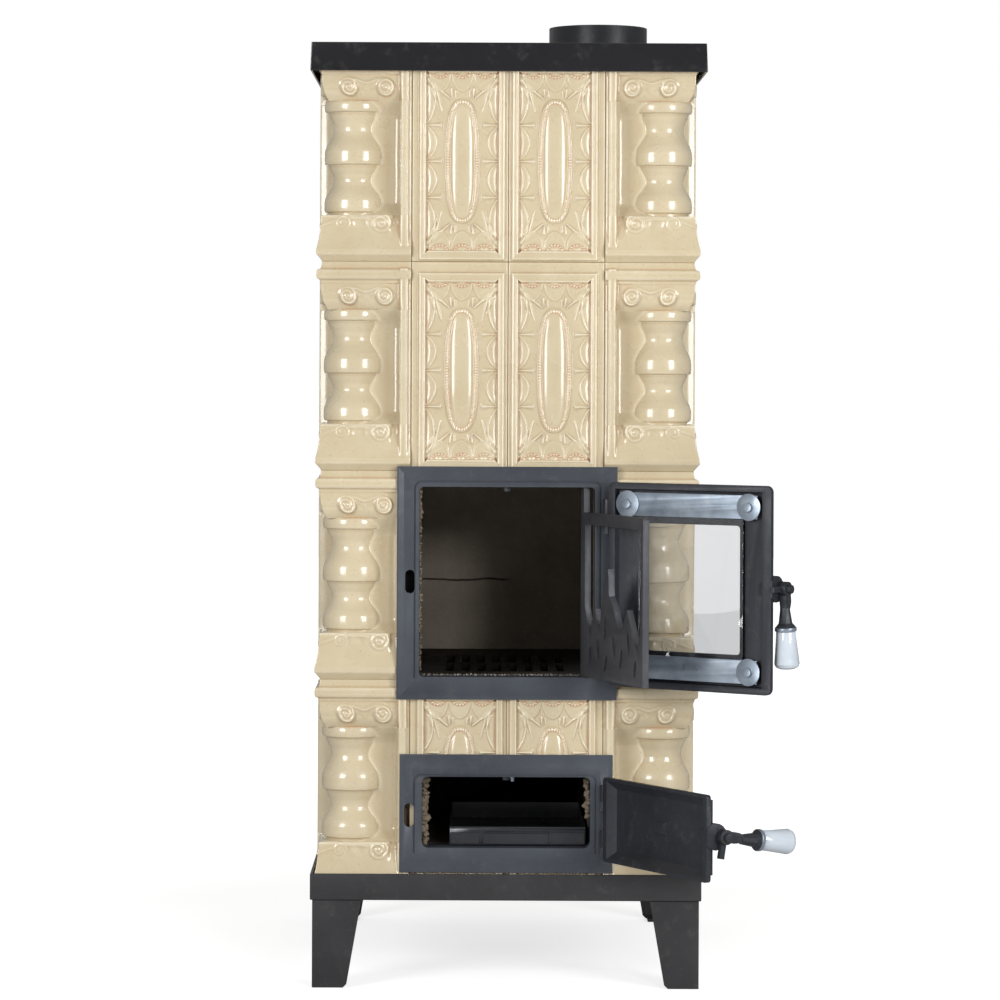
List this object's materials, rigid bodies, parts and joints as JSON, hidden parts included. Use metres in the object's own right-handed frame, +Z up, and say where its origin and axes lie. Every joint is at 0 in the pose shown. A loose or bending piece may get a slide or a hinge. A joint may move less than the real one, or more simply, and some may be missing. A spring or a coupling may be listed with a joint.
{
  "type": "tiled stove",
  "caption": "Portable tiled stove with glazed cream relief tiles, turned corner columns, black top and tray on legs, open fire and ash doors with porcelain-gripped latches.",
  "frame": {"origin": "on the floor, under the middle of the tiled body", "axes": "+Z up, front with the doors towards -Y, +X to the viewer's right when facing the front"},
  "size_m": [0.5294, 0.7426, 1.091],
  "materials": {
    "glaze": "glazed ceramic, cream, glossy",
    "cast_iron": "painted cast iron, satin",
    "guard_iron": "bare cast iron, matt",
    "black_enamel": "gloss black paint on sheet steel",
    "tray_paint": "satin black paint on sheet steel",
    "collar_paint": "satin black paint on rolled steel",
    "fireclay": "fired clay, matt and rough",
    "zinc": "zinc-plated steel",
    "porcelain": "white glazed porcelain",
    "window_glass": "clear heat-proof glass",
    "sheet_black": "folded sheet steel, dark"
  },
  "bodies": {
    "stove": {"ash_door_frame": "cast_iron", "back_tiles_1": "glaze", "back_tiles_2": "glaze", "back_tiles_3": "glaze", "back_tiles_4": "glaze", "baffle": "fireclay", "base_tray": "tray_paint", "corner_tile_1_left": "glaze", "corner_tile_1_right": "glaze", "corner_tile_2_left": "glaze", "corner_tile_2_right": "glaze", "corner_tile_3_left": "glaze", "corner_tile_3_right": "glaze", "corner_tile_4_left": "glaze", "corner_tile_4_right": "glaze", "cover_slab": "fireclay", "fire_door_frame": "cast_iron", "flat_tile_over_ash_door_left": "glaze", "flat_tile_over_ash_door_right": "glaze", "flat_tile_over_fire_door_left": "glaze", "flat_tile_over_fire_door_right": "glaze", "flat_tile_top_left": "glaze", "flat_tile_top_right": "glaze", "flue_collar": "collar_paint", "grate": "guard_iron", "hearth_block": "fireclay", "leg_back_left": "tray_paint", "leg_back_right": "tray_paint", "leg_front_left": "tray_paint", "leg_front_right": "tray_paint", "lining_back": "fireclay", "lining_front": "fireclay", "lining_left": "fireclay", "lining_right": "fireclay", "side_tiles_1_left": "glaze", "side_tiles_1_right": "glaze", "side_tiles_2_left": "glaze", "side_tiles_2_right": "glaze", "side_tiles_3_left": "glaze", "side_tiles_3_right": "glaze", "side_tiles_4_left": "glaze", "side_tiles_4_right": "glaze", "top_plate": "black_enamel"},
    "fire_door": {"fire_door": "cast_iron", "door_glass": "window_glass", "glass_strip_upper": "zinc", "glass_strip_lower": "zinc", "washer_screw_upper_left": "zinc", "washer_screw_upper_right": "zinc", "washer_screw_lower_left": "zinc", "washer_screw_lower_right": "zinc"},
    "fire_latch": {"fire_latch_lever": "cast_iron", "fire_grip_ferrule": "zinc", "fire_porcelain_grip": "porcelain"},
    "ash_door": {"ash_door": "cast_iron"},
    "ash_latch": {"ash_latch_lever": "cast_iron", "ash_grip_ferrule": "zinc", "ash_porcelain_grip": "porcelain"},
    "flame_guard": {"flame_guard": "guard_iron"},
    "ash_drawer": {"ash_drawer": "sheet_black"}
  },
  "joints": [
    {"name": "fire_door_hinge", "type": "hinge", "parent": "stove", "child": "fire_door", "pos_m": [0.11, -0.279, 0.446], "axis": [0, 0, 1], "range_deg": [-144.8, 10]},
    {"name": "fire_latch_pivot", "type": "hinge", "parent": "fire_door", "child": "fire_latch", "pos_m": [0.29489, -0.39596, 0.4475], "axis": [0.8171, -0.5764, 0], "range_deg": [0, 95]},
    {"name": "flame_guard_hinge", "type": "hinge", "parent": "stove", "child": "flame_guard", "pos_m": [0.086, -0.262, 0.446], "axis": [0, 0, 1], "range_deg": [-111, 7.8]},
    {"name": "ash_door_hinge", "type": "hinge", "parent": "stove", "child": "ash_door", "pos_m": [0.108, -0.279, 0.19], "axis": [0, 0, 1], "range_deg": [-120.7, 49]},
    {"name": "ash_latch_pivot", "type": "hinge", "parent": "ash_door", "child": "ash_latch", "pos_m": [0.22789, -0.45937, 0.191], "axis": [0.5105, -0.8599, 0], "range_deg": [-79.9, 10]},
    {"name": "ash_drawer_slide", "type": "slide", "parent": "stove", "child": "ash_drawer", "axis": [0, -1, 0], "range_m": [0, 0.2]}
  ],
  "couplings": [
    {"joint": "flame_guard_hinge", "follows": "fire_door_hinge", "ratio": 0.76657}
  ]
}
